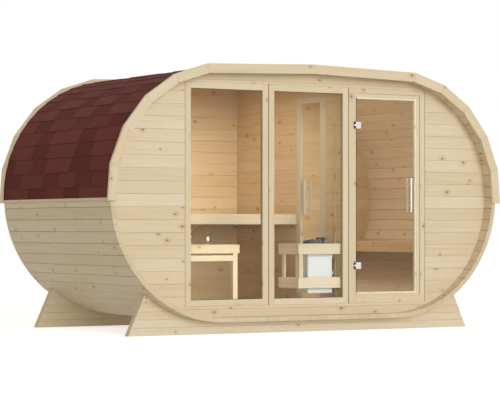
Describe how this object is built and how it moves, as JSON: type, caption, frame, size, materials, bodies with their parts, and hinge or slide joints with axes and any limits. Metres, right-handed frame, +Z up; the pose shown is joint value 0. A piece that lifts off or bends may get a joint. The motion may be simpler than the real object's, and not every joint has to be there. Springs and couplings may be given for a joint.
{
  "type": "barrel sauna",
  "caption": "Oval barrel sauna of spruce staves on two cradles, with a shingled roof, a glazed front with a glass door, an inner glass door, benches and a guarded heater.",
  "frame": {"origin": "on the ground under the middle of the body", "axes": "+X to the right along the glazed front, +Y from the front to the back, +Z up"},
  "size_m": [4.0578, 2.236, 2.351],
  "materials": {
    "spruce": "smooth planed spruce, unpainted",
    "spruce_inside": "smooth planed spruce, unpainted",
    "bench_wood": "smooth planed light wood, unpainted",
    "shingles": "bitumen shingles with coarse red-brown grit",
    "clear_glass": "clear toughened glass",
    "satin_steel": "satin stainless steel",
    "dark_steel": "dark plated steel",
    "white_enamel": "white enamelled sheet",
    "stones": "rough dark stones"
  },
  "bodies": {
    "root": {"shell_bottom": "spruce", "shell_left_lower": "spruce", "shell_left_upper": "spruce", "shell_right_lower": "spruce", "shell_right_upper": "spruce", "shell_top": "spruce", "roof_shingles": "shingles", "roof_edge_strips": "spruce", "fascia_front": "spruce", "fascia_back": "spruce", "front_wall_left": "spruce", "front_wall_right": "spruce", "front_wall_top": "spruce", "front_wall_bottom": "spruce", "back_wall": "spruce_inside", "partition_back": "spruce_inside", "partition_front": "spruce_inside", "partition_over_door": "spruce_inside", "floor": "spruce_inside", "window_frame_left": "spruce", "window_glass_left": "clear_glass", "window_frame_middle": "spruce", "window_glass_middle": "clear_glass", "frame_strips": "spruce", "door_frame": "spruce", "door_hinge_brackets": "dark_steel", "inner_door_frame": "spruce_inside", "inner_door_brackets": "dark_steel", "upper_bench": "bench_wood", "lower_bench": "bench_wood", "lower_bench_legs": "bench_wood", "right_bench": "bench_wood", "heater": "white_enamel", "heater_stones": "stones", "guard_front": "bench_wood", "guard_side": "bench_wood", "vent_slide": "spruce_inside", "foot_front": "spruce", "foot_back": "spruce"},
    "front_door": {"door_glass": "clear_glass", "door_hinges": "satin_steel", "door_handle": "satin_steel", "door_inner_pull": "bench_wood"},
    "inner_door": {"inner_door_glass": "clear_glass", "inner_door_hinges": "satin_steel", "inner_door_handle": "satin_steel", "inner_door_pull": "bench_wood"}
  },
  "joints": [
    {"name": "front_door_hinge", "type": "hinge", "parent": "root", "child": "front_door", "pos_m": [0.506, -0.986, 0.578], "axis": [0, 0, -1], "range_deg": [0, 110]},
    {"name": "inner_door_hinge", "type": "hinge", "parent": "root", "child": "inner_door", "pos_m": [0.452, -0.591, 0.494], "axis": [0, 0, -1], "range_deg": [0, 90]}
  ]
}
